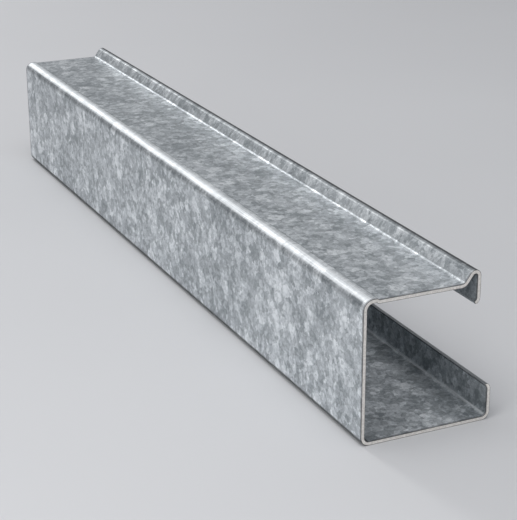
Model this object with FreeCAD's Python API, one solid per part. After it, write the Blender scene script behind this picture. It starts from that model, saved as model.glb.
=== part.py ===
"""Cold-formed galvanised steel C-channel: one piece of sheet bent into an open section.

Frame: millimetres, +Z up, the channel's length along Y, its flanges reaching towards +X.
The origin is under the middle of the channel, on the floor it lies on.
"""

import math
import os

import FreeCAD
import Part

# Driving dimensions, in millimetres and degrees.
LENGTH = 525.0  # cut length of the piece
SHEET = 2.0  # sheet thickness
WEB_HEIGHT = 75.0  # underside of the lower flange to the top of the web strip
LOWER_FLANGE_WIDTH = 72.0  # outer web face to outer face of the lower lip
LOWER_LIP_HEIGHT = 18.0  # underside of the lower flange to the lip's free edge
UPPER_FLANGE_WIDTH = 63.5  # outer web face to outer face of the upper lip
UPPER_LIP_DROP = 18.0  # crest of the ridge to the lowest point of the upper lip

# Bends are given by their inside radius.
WEB_BEND_LOWER = 2.5
WEB_BEND_UPPER = 3.5
LOWER_LIP_BEND = 2.5

# The strip beside the upper web bend stands a little proud of the flange.
STRIP_WIDTH = 1.2  # flat of the strip, past the web bend
STRIP_STEP = 0.7  # drop from the strip to the flange
STRIP_BEND = 0.6

# The upper flange rises into a rounded ridge before it turns down into its lip.
RIDGE_RISE = 6.2  # flange's top face to the crest
RIDGE_ANGLE = 55.0  # slope of the ridge's flank
RIDGE_VALLEY_BEND = 2.5
RIDGE_CREST_BEND = 1.3

# The free edge of the upper lip curls inwards.
CURL_ANGLE = 65.0
CURL_BEND = 2.0

LIP_CORNER_RADIUS = 2.0  # the lower lip's free corners, rounded in the plane of the lip
EDGE_BREAK = 0.2  # rounding of every sheared edge


def beside(place, heading, distance):
    """The place that lies `distance` to the right of `place`, for one who looks along `heading`."""
    side = math.radians(heading - 90)
    return (place[0] + distance * math.cos(side), place[1] + distance * math.sin(side))


def point(place):
    """A place of the section as a point in the XZ plane."""
    return FreeCAD.Vector(place[0], 0, place[1])


class SectionWalk:
    """Lays out the two faces of a bent sheet, one straight or bend at a time.

    The walk follows the outer face. The sheet's thickness lies to its right.
    """

    def __init__(self, x, z, heading):
        self.place = (x, z)
        self.heading = heading  # degrees, anticlockwise from +X in the XZ plane
        self.outer = []
        self.inner = []

    def run(self, length):
        """A flat of the section."""
        start, way = self.place, math.radians(self.heading)
        end = (start[0] + length * math.cos(way), start[1] + length * math.sin(way))
        for edges, distance in ((self.outer, 0), (self.inner, SHEET)):
            a = point(beside(start, self.heading, distance))
            b = point(beside(end, self.heading, distance))
            edges.append(Part.LineSegment(a, b).toShape())
        self.place = end

    def bend(self, angle, inside_radius):
        """A bend: clockwise for a positive angle, which closes towards the inner face."""
        if angle > 0:
            to_centre = inside_radius + SHEET
        else:
            to_centre = -inside_radius
        centre = beside(self.place, self.heading, to_centre)
        turned = self.heading - angle
        middle = self.heading - angle / 2
        for edges, distance in ((self.outer, -to_centre), (self.inner, SHEET - to_centre)):
            a, m, b = (
                point(beside(centre, heading, distance))
                for heading in (self.heading, middle, turned)
            )
            edges.append(Part.Arc(a, m, b).toShape())
        self.place = beside(centre, turned, -to_centre)
        self.heading = turned

    def face(self):
        """The section as a face in the XZ plane."""
        first = Part.LineSegment(self.inner[0].Vertexes[0].Point, self.outer[0].Vertexes[0].Point)
        last = Part.LineSegment(self.outer[-1].Vertexes[-1].Point, self.inner[-1].Vertexes[-1].Point)
        edges = Part.__sortEdges__([first.toShape(), *self.outer, last.toShape(), *self.inner])
        return Part.Face(Part.Wire(edges))


def rise_of(angle):
    """Height that a bend gains, as a share of the radius it is made on."""
    return 1 - math.cos(math.radians(angle))


def reach_of(angle):
    """Length that a bend covers, as a share of the radius it is made on."""
    return math.sin(math.radians(angle))


def slope_between(drop, angle, radii):
    """The straight slope left in an S-bend, once its two bends have made their share of the drop."""
    return (drop - radii * rise_of(angle)) / reach_of(angle)


def channel_section():
    """The whole section, from the lower lip's free edge to the upper lip's."""
    lower_lip_outer = LOWER_LIP_BEND + SHEET
    web_lower_outer = WEB_BEND_LOWER + SHEET
    web_upper_outer = WEB_BEND_UPPER + SHEET
    crest_outer = RIDGE_CREST_BEND + SHEET
    curl_outer = CURL_BEND + SHEET

    walk = SectionWalk(LOWER_FLANGE_WIDTH, LOWER_LIP_HEIGHT, -90)
    walk.run(LOWER_LIP_HEIGHT - lower_lip_outer)
    walk.bend(90, LOWER_LIP_BEND)
    walk.run(LOWER_FLANGE_WIDTH - lower_lip_outer - web_lower_outer)
    walk.bend(90, WEB_BEND_LOWER)
    walk.run(WEB_HEIGHT - web_lower_outer - web_upper_outer)
    walk.bend(90, WEB_BEND_UPPER)

    # The strip's step is two bends alone, so its angle follows from the drop they share.
    strip_angle = math.degrees(math.acos(1 - STRIP_STEP / (2 * STRIP_BEND + SHEET)))
    walk.run(STRIP_WIDTH)
    walk.bend(strip_angle, STRIP_BEND)
    walk.bend(-strip_angle, STRIP_BEND)

    ridge_slope = slope_between(RIDGE_RISE, RIDGE_ANGLE, RIDGE_VALLEY_BEND + crest_outer)
    ridge_reach = (
        (RIDGE_VALLEY_BEND + crest_outer) * reach_of(RIDGE_ANGLE)
        + ridge_slope * math.cos(math.radians(RIDGE_ANGLE))
        + crest_outer
    )
    walk.run(UPPER_FLANGE_WIDTH - ridge_reach - walk.place[0])
    walk.bend(-RIDGE_ANGLE, RIDGE_VALLEY_BEND)
    walk.run(ridge_slope)
    walk.bend(RIDGE_ANGLE + 90, RIDGE_CREST_BEND)
    walk.run(UPPER_LIP_DROP - crest_outer - curl_outer * reach_of(CURL_ANGLE))
    walk.bend(CURL_ANGLE, CURL_BEND)
    return walk.face()


def lower_lip_corner(end, inward):
    """The waste that rounding takes off one free corner of the lower lip."""
    radius = LIP_CORNER_RADIUS
    top = LOWER_LIP_HEIGHT
    x = LOWER_FLANGE_WIDTH - SHEET
    corner = FreeCAD.Vector(x, end, top)
    on_end = FreeCAD.Vector(x, end, top - radius)
    on_top = FreeCAD.Vector(x, end + inward * radius, top)
    share = radius * (1 - math.sqrt(0.5))
    on_arc = FreeCAD.Vector(x, end + inward * share, top - share)
    edges = [
        Part.LineSegment(corner, on_end).toShape(),
        Part.Arc(on_end, on_arc, on_top).toShape(),
        Part.LineSegment(on_top, corner).toShape(),
    ]
    return Part.Face(Part.Wire(edges)).extrude(FreeCAD.Vector(SHEET, 0, 0))


def sheared_edges(channel):
    """The edges that the shears left: round both cut ends and along both free edges."""
    found = []
    for face in channel.Faces:
        for edge in face.Edges:
            same = [e for e in found if e.isSame(edge)]
            if not same and is_sheared(edge, channel):
                found.append(edge)
    return found


def is_sheared(edge, channel):
    """Whether the sheet ends at this edge: its two faces meet at a corner instead of running on."""
    sides = [f for f in channel.Faces if any(e.isSame(edge) for e in f.Edges)]
    at = edge.valueAt((edge.FirstParameter + edge.LastParameter) / 2)
    normals = [f.normalAt(*f.Surface.parameter(at)) for f in sides]
    return len(normals) == 2 and abs(normals[0].dot(normals[1])) < 0.5


def c_channel():
    section = channel_section()
    channel = section.extrude(FreeCAD.Vector(0, LENGTH, 0))
    channel.translate(FreeCAD.Vector(0, -LENGTH / 2, 0))
    for end, inward in ((-LENGTH / 2, 1), (LENGTH / 2, -1)):
        channel = channel.cut(lower_lip_corner(end, inward))
    channel = channel.makeFillet(EDGE_BREAK, sheared_edges(channel))
    channel.translate(FreeCAD.Vector(-LOWER_FLANGE_WIDTH / 2, 0, 0))
    return channel


os.makedirs("parts", exist_ok=True)
part = c_channel()
solid = part.Solids[0]
solid.exportStep("parts/c_channel.step")
print("valid", solid.isValid(), "solids", len(part.Solids), "volume_mm3", round(solid.Volume, 1))
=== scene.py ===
import math

import bpy
from mathutils import Matrix, Vector


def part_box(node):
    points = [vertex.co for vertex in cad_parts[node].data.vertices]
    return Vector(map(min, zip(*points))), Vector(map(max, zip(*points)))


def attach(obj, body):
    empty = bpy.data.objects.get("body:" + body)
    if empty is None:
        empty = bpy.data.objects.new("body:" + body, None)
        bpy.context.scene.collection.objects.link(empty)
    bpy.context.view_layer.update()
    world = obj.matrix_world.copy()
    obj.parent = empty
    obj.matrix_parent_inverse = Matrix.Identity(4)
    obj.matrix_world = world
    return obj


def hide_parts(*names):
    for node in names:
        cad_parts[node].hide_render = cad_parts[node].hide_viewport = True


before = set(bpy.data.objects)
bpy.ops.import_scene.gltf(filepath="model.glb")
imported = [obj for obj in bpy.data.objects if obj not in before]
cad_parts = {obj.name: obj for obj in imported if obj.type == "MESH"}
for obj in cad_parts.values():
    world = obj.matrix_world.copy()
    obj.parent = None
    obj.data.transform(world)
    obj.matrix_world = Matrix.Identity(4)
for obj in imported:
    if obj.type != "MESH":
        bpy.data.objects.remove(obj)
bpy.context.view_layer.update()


# ------------------------------------------------------------------------------------------------
# The channel: one strip of hot-dip galvanised sheet, 2 mm thick, roll formed into an open C.
# A plain lip closes the lower flange. The upper flange rises into a ridge before its curled lip.
# The strip was cut to length on a shear, which left the steel bare round both ends.
# ------------------------------------------------------------------------------------------------

low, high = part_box("c_channel")

LENGTH = high.y - low.y
LOWER_FLANGE = high.x - low.x
SHEET = 0.002
WEB_HEIGHT = 0.075
LOWER_LIP = 0.018
UPPER_FLANGE = 0.0635
UPPER_LIP_DROP = 0.018

# Inside radii of the bends, from the lower lip round to the curl.
LOWER_LIP_BEND = 0.0025
WEB_BEND_LOWER = 0.0025
WEB_BEND_UPPER = 0.0035
STRIP_BEND = 0.0006
RIDGE_VALLEY_BEND = 0.0025
RIDGE_CREST_BEND = 0.0013
CURL_BEND = 0.002

STRIP_WIDTH = 0.0012
STRIP_STEP = 0.0007
STRIP_ANGLE = math.acos(1 - STRIP_STEP / (2 * STRIP_BEND + SHEET))
RIDGE_RISE = high.z - (WEB_HEIGHT - STRIP_STEP)
RIDGE_ANGLE = math.radians(55)
CURL_ANGLE = math.radians(65)
QUARTER_TURN = math.radians(90)

LIP_CORNER = 0.002  # radius of the lower lip's free corners
EDGE_BREAK = 0.0002  # rounding of the sheared edges
SHADED_EDGE_WIDTH = 0.0009  # width of the band of painted shade along a free edge
SHADED_EDGE_MARK = -0.7  # how dark the painted shade in that band is, on the scale of the row marks below
CUT_EDGE_SHADE_MARK = -0.6  # how dark the painted shade on the free edge itself is
ROW_SPACING = 0.005  # between the rows of points on a flat, and between its columns
ARC_STEP = math.radians(7.5)


class StripRows:
    """The strip's middle layer in section, as rows of points laid down flat by flat, bend by bend."""

    def __init__(self, x, z, heading):
        self.x, self.z, self.heading = x, z, heading
        self.rows = [(x, z, CUT_EDGE_SHADE_MARK)]

    def step(self, length, burnish_and_painted_light):
        """One row more, with a mark of painted light: 1 is a painted highlight, partly the rolls' burnish,
        and -1 is painted shade.
        """
        self.x += length * math.cos(self.heading)
        self.z += length * math.sin(self.heading)
        self.rows.append((self.x, self.z, burnish_and_painted_light))

    def flat(self, length, first=(), burnish_and_painted_light=0.0):
        """A flat, with extra rows at the distances `first` from a free edge, which gets painted shade."""
        begin = first[-1] if first else 0.0
        count = max(1, round((length - begin) / ROW_SPACING))
        marks = [*first, *(begin + (length - begin) * i / count for i in range(1, count + 1))]
        done = 0.0
        for mark in marks:
            self.step(mark - done, SHADED_EDGE_MARK if first and mark < SHADED_EDGE_WIDTH else burnish_and_painted_light)
            done = mark

    def bend(self, angle, inside_radius, burnish_and_painted_light=(0.0,)):
        """A bend: clockwise for a positive angle. Its middle layer lies half a sheet out.

        Its marks of painted highlight and painted shade are spread over it, from where the bend starts to
        where it ends.
        """
        count = max(3, math.ceil(abs(angle) / ARC_STEP))
        turn = angle / count
        chord = 2 * (inside_radius + SHEET / 2) * math.sin(abs(turn) / 2)
        for i in range(count):
            self.heading -= turn / 2
            self.step(chord, burnish_and_painted_light[i * len(burnish_and_painted_light) // count])
            self.heading -= turn / 2


def sheared_rows(reach):
    """Distances from a free edge at which the strip has a row, closer together towards the edge."""
    steps = 9
    return [reach * (1 - math.cos(QUARTER_TURN * i / steps)) for i in range(1, steps + 1)]


def s_bend_slope(drop, angle, radii):
    """The straight left in an S-bend, once its two bends have made their share of the drop."""
    return (drop - radii * (1 - math.cos(angle))) / math.sin(angle)


def section_rows():
    """The section, from the lower lip's free edge, down, round by the web, and on to the curl."""
    lower_lip_outer = LOWER_LIP_BEND + SHEET
    web_lower_outer = WEB_BEND_LOWER + SHEET
    web_upper_outer = WEB_BEND_UPPER + SHEET
    crest_outer = RIDGE_CREST_BEND + SHEET
    half = SHEET / 2
    strip = StripRows(high.x - half, LOWER_LIP, -QUARTER_TURN)
    close_rows = [EDGE_BREAK / 4, EDGE_BREAK, *sheared_rows(LIP_CORNER)[3:]]
    # Painted shade on the lip's free edge and its last stretch.
    strip.flat(LOWER_LIP - lower_lip_outer, first=close_rows)
    # Painted highlight: a pale line in the lower lip's bend.
    strip.bend(QUARTER_TURN, LOWER_LIP_BEND, (0.0, 0.0, 1.0, 1.0, 0.0, 0.0))
    strip.flat(LOWER_FLANGE - lower_lip_outer - web_lower_outer)
    # Painted shadow: the foot of the web is darkened where it meets the floor.
    strip.bend(QUARTER_TURN, WEB_BEND_LOWER, (-1.0, -1.0, -1.0, -0.8, 0.0))
    strip.flat(WEB_HEIGHT - web_lower_outer - web_upper_outer)
    # Painted shade, then a painted highlight: a dark band where the web's upper bend starts, then the
    # bright line along it and the strip beyond.
    strip.bend(QUARTER_TURN, WEB_BEND_UPPER, (-0.2, -0.3, 0.0, 1.0, 1.0, 1.0, 1.0, 0.7))
    strip.flat(STRIP_WIDTH, burnish_and_painted_light=0.6)
    # Painted shade: the fold line where the strip steps down, with a little painted highlight before it.
    strip.bend(STRIP_ANGLE, STRIP_BEND, (0.4, 0.0, -1.0))
    strip.bend(-STRIP_ANGLE, STRIP_BEND, (-0.7, 0.0, 0.0))

    slope = s_bend_slope(RIDGE_RISE, RIDGE_ANGLE, RIDGE_VALLEY_BEND + crest_outer)
    ridge_reach = (
        (RIDGE_VALLEY_BEND + crest_outer) * math.sin(RIDGE_ANGLE)
        + slope * math.cos(RIDGE_ANGLE)
        + crest_outer
    )
    strip.flat(low.x + UPPER_FLANGE - ridge_reach - strip.x)
    # Painted shade: the valley's highlight is dimmed, and the crest is darkened to a dark line.
    strip.bend(-RIDGE_ANGLE, RIDGE_VALLEY_BEND, (0.0, -0.25, -0.2))
    strip.flat(slope)
    strip.bend(RIDGE_ANGLE + QUARTER_TURN, RIDGE_CREST_BEND, (-0.5, -0.6, -1.0, -1.0, -1.0, -0.6, 0.0))
    strip.flat(UPPER_LIP_DROP - crest_outer - (CURL_BEND + SHEET) * math.sin(CURL_ANGLE))
    strip.bend(CURL_ANGLE, CURL_BEND)
    return strip.rows


def section_object(rows):
    """The section's middle layer as a chain of edges, x across and z upwards in its XY plane."""
    mesh = bpy.data.meshes.new("channel_section")
    points = [(x, z, 0) for x, z, _ in rows]
    mesh.from_pydata(points, [(i, i + 1) for i in range(len(points) - 1)], [])
    burnish_and_painted_light = mesh.attributes.new("burnish_and_painted_light", "FLOAT", "POINT")
    burnish_and_painted_light.data.foreach_set("value", [row[2] for row in rows])
    section = bpy.data.objects.new("channel_section", mesh)
    bpy.context.scene.collection.objects.link(section)
    return section


def nodes_of(tree):
    """A function that adds a node to `tree`, sets its options, and fills or links its inputs."""

    def add(kind, inputs=None, **options):
        node = tree.nodes.new(kind)
        for name, value in options.items():
            setattr(node, name, value)
        for key, value in (inputs or {}).items():
            socket = node.inputs[key]
            if isinstance(value, bpy.types.NodeSocket):
                tree.links.new(value, socket)
            else:
                socket.default_value = value
        return node

    return add


def declared(tree, direction, kind, *names):
    """Gives `tree` inputs or outputs of one kind, by name."""
    for name in names:
        tree.interface.new_socket(name, in_out=direction, socket_type="NodeSocket" + kind)


def sums_in(add):
    """A function that adds a Math node and gives its result."""

    def calc(operation, a, b=0.0, c=0.0):
        return add("ShaderNodeMath", {0: a, 1: b, 2: c}, operation=operation).outputs[0]

    return calc


# ---- Zinc and bare steel ----

DARK_ZINC = (0.30, 0.33, 0.35, 1)
MIDDLE_ZINC = (0.58, 0.615, 0.64, 1)
PALE_ZINC = (0.93, 0.965, 0.99, 1)
# A dark zinc for painted shade.
PAINTED_SHADE_ZINC = (0.07, 0.075, 0.08, 1)
# A pale silver for painted highlights, partly the rolls' burnish.
BURNISH_HIGHLIGHT_DARK = (0.62, 0.65, 0.67, 1)
BURNISH_HIGHLIGHT_PALE = (0.93, 0.95, 0.96, 1)
SPECK = (0.10, 0.11, 0.12, 1)
DARK_STEEL = (0.74, 0.71, 0.67, 1)
PALE_STEEL = (0.95, 0.92, 0.88, 1)
# A near-black for painted shade along both edges of each cut.
CUT_OUTLINE_SHADE = (0.05, 0.05, 0.05, 1)

# Distances from a sheared end at which its band of painted shade stops, and is at its darkest.
END_BAND_STOP = 0.0014
END_BAND_FULL = 0.0008
# Distances from the middle of the sheet at which the painted shade along each edge of the cut starts, and
# is full.
CUT_OUTLINE_START = 0.00068
CUT_OUTLINE_FULL = 0.00082


def graded(add, value, start, end, low_value=0.0, high_value=1.0):
    """A value that runs from `low_value` to `high_value` while `value` runs from `start` to `end`."""
    limits = {"From Min": start, "From Max": end, "To Min": low_value, "To Max": high_value}
    return add("ShaderNodeMapRange", {"Value": value, **limits}).outputs["Result"]


def blended(add, share, first, second):
    """The colour `first`, with `second` over it by `share`."""
    mix = add("ShaderNodeMix", {0: share, 6: first, 7: second}, data_type="RGBA")
    return mix.outputs[2]


def coloured(add, value, *stops):
    """The colour of `value` on a ramp. Each stop is a value and its colour, in rising order."""
    node = add("ShaderNodeValToRGB", {"Fac": value})
    ramp = node.color_ramp.elements
    ramp[0].position, ramp[0].color = stops[0]
    ramp[1].position, ramp[1].color = stops[-1]
    for position, colour in stops[1:-1]:
        ramp.new(position).color = colour
    return node.outputs["Color"]


def new_material(name):
    """An empty material, and the function that adds nodes to it."""
    material = bpy.data.materials.new(name)
    material.use_nodes = True
    material.node_tree.nodes.clear()
    return material, nodes_of(material.node_tree)


def flake_group():
    """Zinc flakes: crystals of one size, ragged at their edges, each with a tone of its own."""
    group = bpy.data.node_groups.new("zinc_flakes", "ShaderNodeTree")
    declared(group, "INPUT", "Vector", "Place")
    declared(group, "INPUT", "Float", "Flakes per metre", "Raggedness")
    declared(group, "OUTPUT", "Float", "Tone", "Patch", "Seam")
    add = nodes_of(group)
    calc = sums_in(add)
    given = add("NodeGroupInput").outputs
    density = given["Flakes per metre"]
    place = given["Place"]
    for scale_share, pull in ((1.3, 1.0), (4.0, 0.45)):
        scale = calc("MULTIPLY", density, scale_share)
        noise = add("ShaderNodeTexNoise", {"Vector": given["Place"], "Scale": scale, "Detail": 3.0})
        from_middle = {0: noise.outputs["Color"], 1: (0.5, 0.5, 0.5)}
        centred = add("ShaderNodeVectorMath", from_middle, operation="SUBTRACT").outputs[0]
        reach = calc("DIVIDE", calc("MULTIPLY", given["Raggedness"], pull), density)
        pulled = add("ShaderNodeVectorMath", {0: centred, "Scale": reach}, operation="SCALE").outputs[0]
        place = add("ShaderNodeVectorMath", {0: place, 1: pulled}, operation="ADD").outputs[0]
    cells = {"Vector": place, "Scale": density, "Randomness": 0.95}
    flakes = add("ShaderNodeTexVoronoi", cells, feature="F1")
    seams = add("ShaderNodeTexVoronoi", cells, feature="DISTANCE_TO_EDGE")
    tone = add("ShaderNodeSeparateColor", {0: flakes.outputs["Color"]})
    # Every other crystal stands out as a pale, rounded patch.
    pale = graded(add, tone.outputs[1], 0.50, 0.62)
    rounded = graded(add, flakes.outputs["Distance"], 0.43, 0.49, 1.0, 0.0)
    out = add("NodeGroupOutput")
    group.links.new(tone.outputs[0], out.inputs["Tone"])
    group.links.new(calc("MULTIPLY", pale, rounded), out.inputs["Patch"])
    group.links.new(graded(add, seams.outputs["Distance"], 0.0, 0.12, 1.0, 0.0), out.inputs["Seam"])
    return group


def grime_group():
    """Handling marks: faint grey clouds and small dark specks, as on sheet from a store."""
    group = bpy.data.node_groups.new("handling_marks", "ShaderNodeTree")
    declared(group, "INPUT", "Vector", "Place")
    declared(group, "OUTPUT", "Float", "Clouds", "Specks")
    add = nodes_of(group)
    place = add("NodeGroupInput").outputs["Place"]
    clouds = add("ShaderNodeTexNoise", {"Vector": place, "Scale": 16.0, "Detail": 4.0, "Roughness": 0.6})
    specks = add("ShaderNodeTexNoise", {"Vector": place, "Scale": 420.0, "Detail": 2.0})
    out = add("NodeGroupOutput")
    group.links.new(graded(add, clouds.outputs["Fac"], 0.3, 0.7), out.inputs["Clouds"])
    group.links.new(graded(add, specks.outputs["Fac"], 0.70, 0.78), out.inputs["Specks"])
    return group


zinc_flakes = flake_group()
handling_marks = grime_group()


def sheet_places(add, side_gap):
    """The place on the flat strip before bending. The two faces lie `side_gap` apart in the pattern."""
    place = add("ShaderNodeAttribute", attribute_name="strip_place", attribute_type="GEOMETRY")
    flat_place = place.outputs["Vector"]
    spread = add("ShaderNodeMapping", {"Vector": flat_place, "Scale": (1, 1, side_gap / SHEET)})
    return flat_place, spread.outputs["Vector"]


def galvanised_zinc():
    """Hot-dip zinc: large pale flakes over a finer mottle, satin, with painted highlights and painted shade
    in the bends.
    """
    material, add = new_material("galvanised_zinc")
    calc = sums_in(add)
    flat_place, place = sheet_places(add, 0.08)
    large = {"Place": place, "Flakes per metre": 110.0, "Raggedness": 0.95}
    large = add("ShaderNodeGroup", large, node_tree=zinc_flakes).outputs
    small = {"Place": place, "Flakes per metre": 330.0, "Raggedness": 0.8}
    small = add("ShaderNodeGroup", small, node_tree=zinc_flakes).outputs
    marks = add("ShaderNodeGroup", {"Place": place}, node_tree=handling_marks).outputs
    mottle = {"Vector": place, "Scale": 640.0, "Detail": 4.0, "Roughness": 0.65}
    mottle = add("ShaderNodeTexNoise", mottle).outputs["Fac"]

    mix = calc("MULTIPLY", large["Tone"], 0.15)
    mix = calc("MULTIPLY_ADD", large["Patch"], 0.17, mix)
    mix = calc("MULTIPLY_ADD", large["Seam"], 0.05, mix)
    mix = calc("MULTIPLY_ADD", small["Tone"], 0.27, mix)
    mix = calc("MULTIPLY_ADD", small["Seam"], -0.08, mix)
    mix = calc("MULTIPLY_ADD", mottle, 0.56, mix)
    mix = calc("MULTIPLY_ADD", marks["Clouds"], 0.12, mix)
    zinc = coloured(add, mix, (0.36, DARK_ZINC), (0.60, MIDDLE_ZINC), (0.85, PALE_ZINC))
    colour = blended(add, calc("MULTIPLY", marks["Specks"], 0.5), zinc, SPECK)

    # Painted highlight, partly the rolls' burnish: some bends turn a pale silver, in fine lines along the
    # strip.
    burnish_and_painted_light = add("ShaderNodeAttribute", attribute_name="burnish_and_painted_light", attribute_type="GEOMETRY").outputs["Fac"]
    burnish_and_highlight = calc("MAXIMUM", burnish_and_painted_light, 0.0)
    drawn = add("ShaderNodeMapping", {"Vector": place, "Scale": (1, 0.012, 1)}).outputs["Vector"]
    lines = add("ShaderNodeTexNoise", {"Vector": drawn, "Scale": 1900.0, "Detail": 2.0}).outputs["Fac"]
    burnish_highlight = coloured(add, lines, (0.35, BURNISH_HIGHLIGHT_DARK), (0.6, BURNISH_HIGHLIGHT_PALE))
    colour = blended(add, calc("MULTIPLY", burnish_and_highlight, 0.7), colour, burnish_highlight)

    # Painted shade: other bends are darkened, and so is a narrow band at each sheared end, as a dark
    # outline beside the cut.
    along = add("ShaderNodeSeparateXYZ", {0: flat_place}).outputs["Y"]
    band = (LENGTH / 2 - END_BAND_STOP, LENGTH / 2 - END_BAND_FULL)
    end_painted_shade = graded(add, calc("ABSOLUTE", along), *band, 0.0, 0.6)
    painted_shade = calc("MULTIPLY", calc("MAXIMUM", calc("MULTIPLY", burnish_and_painted_light, -1.0), end_painted_shade), 0.92)
    colour = blended(add, painted_shade, colour, PAINTED_SHADE_ZINC)

    rough = graded(add, mix, 0.3, 0.9, 0.42, 0.33)
    rough = calc("MULTIPLY_ADD", burnish_and_highlight, 0.18, rough)
    rough = calc("MULTIPLY_ADD", painted_shade, 0.25, rough)
    relief = calc("MULTIPLY_ADD", small["Seam"], -0.6, mottle)
    relief = calc("MULTIPLY_ADD", large["Seam"], -0.8, relief)
    relief = calc("MULTIPLY", relief, calc("MULTIPLY_ADD", burnish_and_highlight, -0.9, 1.0))
    bump = add("ShaderNodeBump", {"Height": relief, "Strength": 0.19, "Distance": 0.0002}).outputs[0]
    finish = {"Base Color": colour, "Metallic": 0.75, "Roughness": rough, "Normal": bump}
    shader = add("ShaderNodeBsdfPrincipled", finish)
    add("ShaderNodeOutputMaterial", {"Surface": shader.outputs[0]})
    return material


def sheared_steel():
    """The sheared edge: bright bare steel, warmer than the zinc, with a painted shade line down each side.
    """
    material, add = new_material("sheared_steel")
    calc = sums_in(add)
    flat_place, place = sheet_places(add, SHEET)
    through = add("ShaderNodeSeparateXYZ", {0: flat_place}).outputs["Z"]
    cut_outline_shade = graded(add, calc("ABSOLUTE", through), CUT_OUTLINE_START, CUT_OUTLINE_FULL)
    streaks = add("ShaderNodeTexNoise", {"Vector": place, "Scale": 900.0, "Detail": 2.0}).outputs["Fac"]
    steel = coloured(add, streaks, (0.3, DARK_STEEL), (0.7, PALE_STEEL))
    colour = blended(add, cut_outline_shade, steel, CUT_OUTLINE_SHADE)
    bump = add("ShaderNodeBump", {"Height": streaks, "Strength": 0.2, "Distance": 0.0001}).outputs[0]
    finish = {"Base Color": colour, "Metallic": 0.2, "Roughness": 0.4, "Normal": bump}
    shader = add("ShaderNodeBsdfPrincipled", finish)
    add("ShaderNodeOutputMaterial", {"Surface": shader.outputs[0]})
    return material


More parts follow.
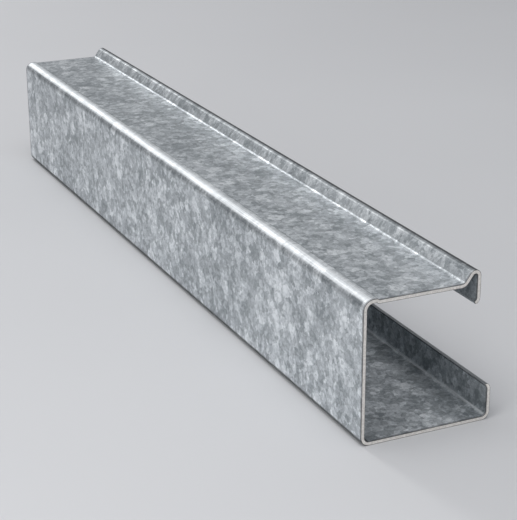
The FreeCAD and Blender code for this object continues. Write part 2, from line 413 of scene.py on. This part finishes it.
def roll_forming_tree():
    """Sweeps the section along the channel's length, with the sheared edges and lip corners rounded."""
    tree = bpy.data.node_groups.new("roll_formed_strip", "GeometryNodeTree")
    declared(tree, "INPUT", "Geometry", "Section")
    declared(tree, "INPUT", "Float", "Length", "Sheet", "Edge break", "Lip corner", "Column spacing")
    declared(tree, "INPUT", "Float", "Wave height", "Wave seed")
    declared(tree, "INPUT", "Material", "Face", "Sheared edge")
    declared(tree, "OUTPUT", "Geometry", "Channel")
    add = nodes_of(tree)
    calc = sums_in(add)
    given = add("NodeGroupInput").outputs

    def kept(geometry, value, data_type="FLOAT"):
        """A value written down on a curve's points, so that the swept mesh carries it."""
        node = add("GeometryNodeCaptureAttribute", {"Geometry": geometry})
        node.capture_items.new(data_type, "Value")
        tree.links.new(value, node.inputs[1])
        return node.outputs["Geometry"], node.outputs[1]

    # The path: the section, with its length round the bends and its normals kept.
    path = add("GeometryNodeMeshToCurve", {"Mesh": given["Section"]}).outputs["Curve"]
    along = add("GeometryNodeSplineParameter").outputs["Length"]
    path, across = kept(path, along)
    path, strip_width = kept(path, add("GeometryNodeSplineLength").outputs["Length"])
    path, normal = kept(path, add("GeometryNodeInputNormal").outputs[0], "VECTOR")

    # The profile: the sheet's own outline, as long as the channel and as thick as the sheet.
    outline = {"Width": given["Sheet"], "Height": given["Length"]}
    outline = add("GeometryNodeCurvePrimitiveQuadrilateral", outline).outputs["Curve"]
    rounding = {"Curve": outline, "Radius": given["Edge break"], "Count": 3}
    rounded = add("GeometryNodeFilletCurve", rounding, mode="POLY").outputs["Curve"]
    place = add("GeometryNodeInputPosition").outputs[0]
    counted = add("GeometryNodeAttributeDomainSize", {0: rounded}, component="CURVE")
    index = add("GeometryNodeInputIndex").outputs[0]
    following = calc("MODULO", calc("ADD", index, 1.0), counted.outputs["Point Count"])
    neighbour = {"Index": following, "Value": place}
    neighbour = add("GeometryNodeFieldAtIndex", neighbour, data_type="FLOAT_VECTOR", domain="POINT")
    gap = add("ShaderNodeVectorMath", {0: place, 1: neighbour.outputs[0]}, operation="DISTANCE")
    cuts = calc("FLOOR", calc("DIVIDE", gap.outputs["Value"], given["Column spacing"]))
    profile = add("GeometryNodeSubdivideCurve", {"Curve": rounded, "Cuts": cuts}).outputs["Curve"]
    thickness_place = add("ShaderNodeSeparateXYZ", {0: place}).outputs["X"]
    profile, depth = kept(profile, thickness_place)

    sweep = {"Curve": path, "Profile Curve": profile, "Fill Caps": True}
    swept = add("GeometryNodeCurveToMesh", sweep).outputs["Mesh"]

    def fallen(radius, distance):
        """How far a quarter-round of `radius` has fallen away, `distance` from the edge it rounds."""
        short = calc("MAXIMUM", calc("SUBTRACT", radius, distance), 0.0)
        height = calc("SQRT", calc("SUBTRACT", calc("POWER", radius, 2.0), calc("POWER", short, 2.0)))
        return calc("SUBTRACT", radius, height)

    # Each free edge is rounded: the sheet thins over its last stretch, along a quarter circle.
    end_gap = calc("SUBTRACT", strip_width, across)
    thinning = fallen(given["Edge break"], calc("MINIMUM", across, end_gap))
    half_sheet = calc("DIVIDE", given["Sheet"], 2.0)
    thinned = calc("MULTIPLY", depth, calc("SUBTRACT", 1.0, calc("DIVIDE", thinning, half_sheet)))

    # The lower lip's corners are rounded in the plane of the lip.
    length_place = add("ShaderNodeSeparateXYZ", {0: place}).outputs["Z"]
    half_length = calc("DIVIDE", given["Length"], 2.0)
    corner_start = calc("SUBTRACT", half_length, given["Lip corner"])
    at_corner = calc("GREATER_THAN", calc("ABSOLUTE", length_place), corner_start)
    pull = calc("MULTIPLY", fallen(given["Lip corner"], across), at_corner)
    pulled = calc("MULTIPLY", pull, calc("SIGN", length_place))

    # The rolls leave the flats a little hollow, never proud.
    flat_place = add("ShaderNodeCombineXYZ", {0: across, 1: length_place, 2: given["Wave seed"]}).outputs[0]
    waves = add("ShaderNodeTexNoise", {"Vector": flat_place, "Scale": 14.0, "Detail": 1.0}).outputs["Fac"]
    wave = calc("MULTIPLY", waves, given["Wave height"])
    inward = calc("ADD", calc("SUBTRACT", thinned, depth), wave)

    shift = add("ShaderNodeVectorMath", {0: normal, "Scale": inward}, operation="SCALE").outputs[0]
    end_shift = add("ShaderNodeCombineXYZ", {2: calc("MULTIPLY", pulled, -1.0)}).outputs[0]
    offset = add("ShaderNodeVectorMath", {0: shift, 1: end_shift}, operation="ADD").outputs[0]
    shaped = add("GeometryNodeSetPosition", {"Geometry": swept, "Offset": offset}).outputs[0]

    strip_place = add("ShaderNodeCombineXYZ", {0: across, 1: length_place, 2: thinned}).outputs[0]
    noted = {"Geometry": shaped, "Name": "strip_place", "Value": strip_place}
    named = add("GeometryNodeStoreNamedAttribute", noted, data_type="FLOAT_VECTOR", domain="POINT")

    turn = {"Geometry": named.outputs[0], "Rotation": (QUARTER_TURN, 0, 0)}
    stood = add("GeometryNodeTransform", turn).outputs[0]
    smooth = add("GeometryNodeSetShadeSmooth", {"Geometry": stood}).outputs[0]
    joined = add("GeometryNodeRealizeInstances", {"Geometry": smooth}).outputs[0]
    faced = {"Geometry": joined, "Material": given["Face"]}
    faced = add("GeometryNodeSetMaterial", faced).outputs[0]
    # Bare steel shows where the sheet is cut through, at the two ends. The long edges are zinced.
    written = add("GeometryNodeInputNamedAttribute", {"Name": "strip_place"}, data_type="FLOAT_VECTOR")
    written = add("ShaderNodeSeparateXYZ", {0: written.outputs["Attribute"]}).outputs
    zinc_start = calc("SUBTRACT", half_sheet, calc("MULTIPLY", given["Edge break"], 0.3))
    cut_through = calc("LESS_THAN", calc("ABSOLUTE", written["Z"]), zinc_start)
    end_start = calc("SUBTRACT", half_length, calc("MULTIPLY", given["Lip corner"], 1.2))
    at_end = calc("GREATER_THAN", calc("ABSOLUTE", written["Y"]), end_start)
    bared = {"Geometry": faced, "Selection": calc("MULTIPLY", cut_through, at_end)}
    bare = add("GeometryNodeSetMaterial", {**bared, "Material": given["Sheared edge"]}).outputs[0]
    out = add("NodeGroupOutput")
    tree.links.new(bare, out.inputs["Channel"])
    return tree


section = section_object(section_rows())
forming = section.modifiers.new("roll_forming", "NODES")
forming.node_group = roll_forming_tree()
settings = {
    "Length": LENGTH, "Sheet": SHEET, "Edge break": EDGE_BREAK, "Lip corner": LIP_CORNER,
    "Column spacing": ROW_SPACING, "Wave height": 0.00006, "Wave seed": 3.0,
    "Face": galvanised_zinc(), "Sheared edge": sheared_steel(),
}
for socket in forming.node_group.interface.items_tree:
    if socket.in_out == "INPUT" and socket.name in settings:
        forming[socket.identifier] = settings[socket.name]
# The shading follows the flats, so that only the bends look round.
flats = section.modifiers.new("true_flats", "WEIGHTED_NORMAL")
flats.mode = "FACE_AREA"

formed = section.evaluated_get(bpy.context.evaluated_depsgraph_get())
channel = bpy.data.objects.new("galvanised_channel", bpy.data.meshes.new_from_object(formed))
bpy.context.scene.collection.objects.link(channel)
bpy.data.objects.remove(section)

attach(channel, "root")
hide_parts("c_channel")


# ------------------------------------------------------------------------------------------------
# The stage: a plain pale floor in a pale room, a large soft light overhead, a softbox behind the
# channel whose reflection runs along the bends, and a weak softbox beside the near end of the web.
# ------------------------------------------------------------------------------------------------

def stage_floor():
    """A matt pale grey floor."""
    reach = 6.0
    mesh = bpy.data.meshes.new("floor")
    corners = [(-reach, -reach, 0), (reach, -reach, 0), (reach, reach, 0), (-reach, reach, 0)]
    mesh.from_pydata(corners, [], [(0, 1, 2, 3)])
    floor = bpy.data.objects.new("floor", mesh)
    bpy.context.scene.collection.objects.link(floor)
    material = bpy.data.materials.new("pale_floor")
    material.use_nodes = True
    add = nodes_of(material.node_tree)
    shader = material.node_tree.nodes["Principled BSDF"]
    here = add("ShaderNodeTexCoord").outputs["Object"]
    clouds = add("ShaderNodeTexNoise", {"Vector": here, "Scale": 3.0, "Detail": 2.0})
    greys = (0.0, (0.61, 0.615, 0.63, 1)), (1.0, (0.65, 0.655, 0.67, 1))
    tint = coloured(add, clouds.outputs["Fac"], *greys)
    material.node_tree.links.new(tint, shader.inputs["Base Color"])
    shader.inputs["Roughness"].default_value = 0.75
    mesh.materials.append(material)


def softbox(name, place, target, width, height, power, lean=0):
    """A rectangular soft light that points at `target`, turned about its own axis by `lean` degrees."""
    data = bpy.data.lights.new(name, "AREA")
    data.shape = "RECTANGLE"
    data.size, data.size_y = width, height
    data.energy = power
    lamp = bpy.data.objects.new(name, data)
    lamp.location = place
    aim = (Vector(target) - Vector(place)).to_track_quat("-Z", "Y")
    lamp.rotation_euler = (aim.to_matrix() @ Matrix.Rotation(math.radians(lean), 3, "Z")).to_euler()
    bpy.context.scene.collection.objects.link(lamp)
    return lamp


def studio_walls():
    """The room's light: brighter overhead than at the height of the floor."""
    world = bpy.data.worlds.new("studio")
    world.use_nodes = True
    bpy.context.scene.world = world
    tree = world.node_tree
    tree.nodes.clear()
    add = nodes_of(tree)
    here = add("ShaderNodeTexCoord").outputs["Generated"]
    upward = add("ShaderNodeSeparateXYZ", {0: here}).outputs["Z"]
    shade = coloured(add, upward, (0.0, (0.07, 0.075, 0.08, 1)), (0.5, (0.43, 0.435, 0.45, 1)))
    background = add("ShaderNodeBackground", {"Color": shade, "Strength": 1.0})
    add("ShaderNodeOutputWorld", {"Surface": background.outputs[0]})


stage_floor()
studio_walls()
softbox("overhead", (-0.42, -0.45, 1.5), (0, -0.1, 0), 1.6, 1.6, 13)
softbox("behind", (-0.27, 1.5, 1.04), (0, 0, 0.07), 0.28, 0.84, 7, lean=-14)
softbox("side", (-0.80, -0.58, 0.33), (0, -0.3, 0.04), 0.5, 0.4, 2)


# ------------------------------------------------------------------------------------------------
# The camera: to the left of the near end, a little above it, with a long lens.
# ------------------------------------------------------------------------------------------------

CAMERA_PLACE = (-0.3575, -0.8398, 0.3422)
CAMERA_AZIMUTH = math.radians(-24.93)
CAMERA_ELEVATION = math.radians(20.53)
CAMERA_ROLL = math.radians(-0.23)
LENS_MM = 107.3
SENSOR_HEIGHT_MM = 36

back = Vector((
    math.sin(CAMERA_AZIMUTH) * math.cos(CAMERA_ELEVATION),
    -math.cos(CAMERA_AZIMUTH) * math.cos(CAMERA_ELEVATION),
    math.sin(CAMERA_ELEVATION),
))
right = Vector((0, 0, 1)).cross(back).normalized()
upright = Matrix((right, back.cross(right), back)).transposed()
lens = bpy.data.cameras.new("camera")
lens.sensor_fit = "VERTICAL"
lens.sensor_height = SENSOR_HEIGHT_MM
lens.lens = LENS_MM
camera = bpy.data.objects.new("camera", lens)
turned = upright @ Matrix.Rotation(CAMERA_ROLL, 3, "Z")
camera.matrix_world = Matrix.Translation(CAMERA_PLACE) @ turned.to_4x4()
bpy.context.scene.collection.objects.link(camera)
bpy.context.scene.camera = camera
bpy.context.scene.view_settings.view_transform = "Standard"
